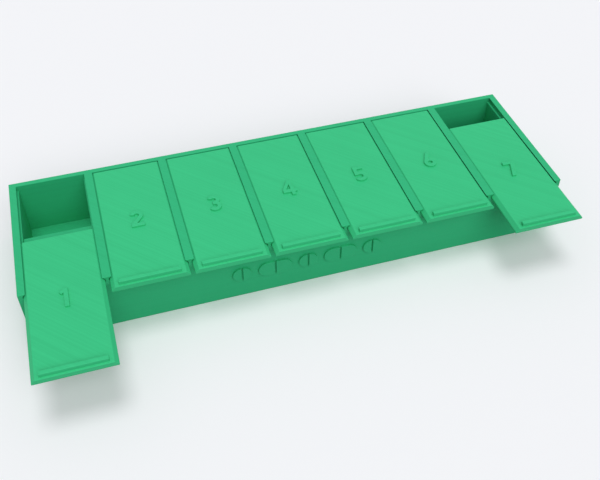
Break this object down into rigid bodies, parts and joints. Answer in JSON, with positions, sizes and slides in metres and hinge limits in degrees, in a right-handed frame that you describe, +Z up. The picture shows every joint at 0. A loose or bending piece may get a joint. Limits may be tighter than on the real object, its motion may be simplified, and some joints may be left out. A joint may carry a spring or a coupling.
{
  "type": "pill organizer",
  "caption": "Long rectangular weekly pill organizer tray with paired cells in each bay, closed by dovetail-edged lids that slide out to the front by a pull rib.",
  "frame": {"origin": "middle of the tray's flat underside", "axes": "+X along the row of bays, -Y to the front where the lids are drawn out, +Z up"},
  "size_m": [0.2, 0.0929, 0.026],
  "materials": {
    "tray_plastic": "mid green printed plastic, matte, fine layer lines",
    "lid_plastic": "slightly lighter green printed plastic, matte, fine layer lines"
  },
  "bodies": {
    "tray": {"tray": "tray_plastic"},
    "lid_1": {"lid_1": "lid_plastic"},
    "lid_2": {"lid_2": "lid_plastic"},
    "lid_3": {"lid_3": "lid_plastic"},
    "lid_4": {"lid_4": "lid_plastic"},
    "lid_5": {"lid_5": "lid_plastic"},
    "lid_6": {"lid_6": "lid_plastic"},
    "lid_7": {"lid_7": "lid_plastic"}
  },
  "joints": [
    {"name": "lid_1_slide", "type": "slide", "parent": "tray", "child": "lid_1", "axis": [0, -1, 0], "range_m": [-0.0301, 0.0269]},
    {"name": "lid_2_slide", "type": "slide", "parent": "tray", "child": "lid_2", "axis": [0, -1, 0], "range_m": [0, 0.057]},
    {"name": "lid_3_slide", "type": "slide", "parent": "tray", "child": "lid_3", "axis": [0, -1, 0], "range_m": [0, 0.057]},
    {"name": "lid_4_slide", "type": "slide", "parent": "tray", "child": "lid_4", "axis": [0, -1, 0], "range_m": [0, 0.057]},
    {"name": "lid_5_slide", "type": "slide", "parent": "tray", "child": "lid_5", "axis": [0, -1, 0], "range_m": [0, 0.057]},
    {"name": "lid_6_slide", "type": "slide", "parent": "tray", "child": "lid_6", "axis": [0, -1, 0], "range_m": [0, 0.057]},
    {"name": "lid_7_slide", "type": "slide", "parent": "tray", "child": "lid_7", "axis": [0, -1, 0], "range_m": [-0.014, 0.043]}
  ]
}
